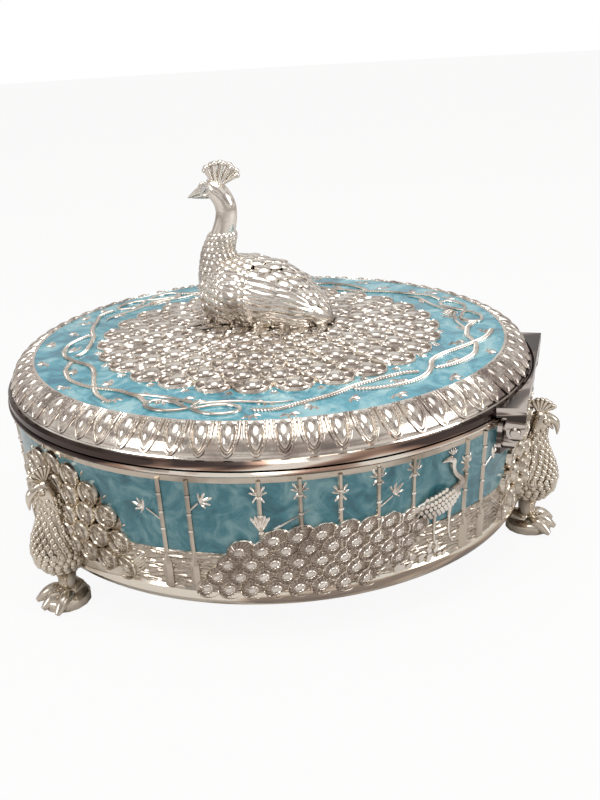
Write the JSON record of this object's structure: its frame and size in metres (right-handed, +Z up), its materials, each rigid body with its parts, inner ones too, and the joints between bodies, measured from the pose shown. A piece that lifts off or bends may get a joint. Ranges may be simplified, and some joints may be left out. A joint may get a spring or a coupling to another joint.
{
  "type": "lidded dry fruit box",
  "caption": "Round lidded box on three bird-shaped feet, with a hinged lid, a bird-shaped handle and a compartment tray.",
  "frame": {"origin": "on the axis of the box, on the surface that it stands on", "axes": "+Z up, +Y towards the hinge, the bird on the lid looks towards -Y"},
  "size_m": [0.2208, 0.2309, 0.1538],
  "materials": {
    "cast_silver": "plated cast relief, bright with darker recesses",
    "polished_band": "polished plating",
    "hinge_chrome": "polished plating, slightly dark",
    "wall_enamel": "glossy pearly poured enamel",
    "lid_enamel": "glossy marbled poured enamel",
    "inner_plate": "satin plated sheet",
    "tray_plastic": "moulded food-safe plastic",
    "screw_steel": "bright zinc",
    "eye_stone": "clear set stone"
  },
  "bodies": {
    "root": {"base_ring": "cast_silver", "body_rim": "polished_band", "body_wall": "cast_silver", "floor_plate": "inner_plate", "foot_back": "cast_silver", "foot_left": "cast_silver", "foot_right": "cast_silver", "foot_screws": "screw_steel", "hinge_lug_left": "hinge_chrome", "hinge_lug_right": "hinge_chrome", "hinge_pins": "hinge_chrome", "liner_tray": "tray_plastic", "lug_screws": "screw_steel", "tray_divider": "tray_plastic", "wall_enamel_front": "wall_enamel", "wall_enamel_left": "wall_enamel", "wall_enamel_right": "wall_enamel"},
    "lid": {"bracket_screws": "screw_steel", "eye_stones": "eye_stone", "feather_disc": "cast_silver", "finial_screws": "screw_steel", "hinge_bracket": "hinge_chrome", "lid_band": "polished_band", "lid_enamel": "lid_enamel", "lid_inner_cover": "inner_plate", "lid_shell": "cast_silver", "peacock_finial": "cast_silver"}
  },
  "joints": [
    {"name": "lid_hinge", "type": "hinge", "parent": "root", "child": "lid", "pos_m": [0, 0.1066, 0.061], "axis": [-1, 0, 0], "range_deg": [0, 85]}
  ]
}
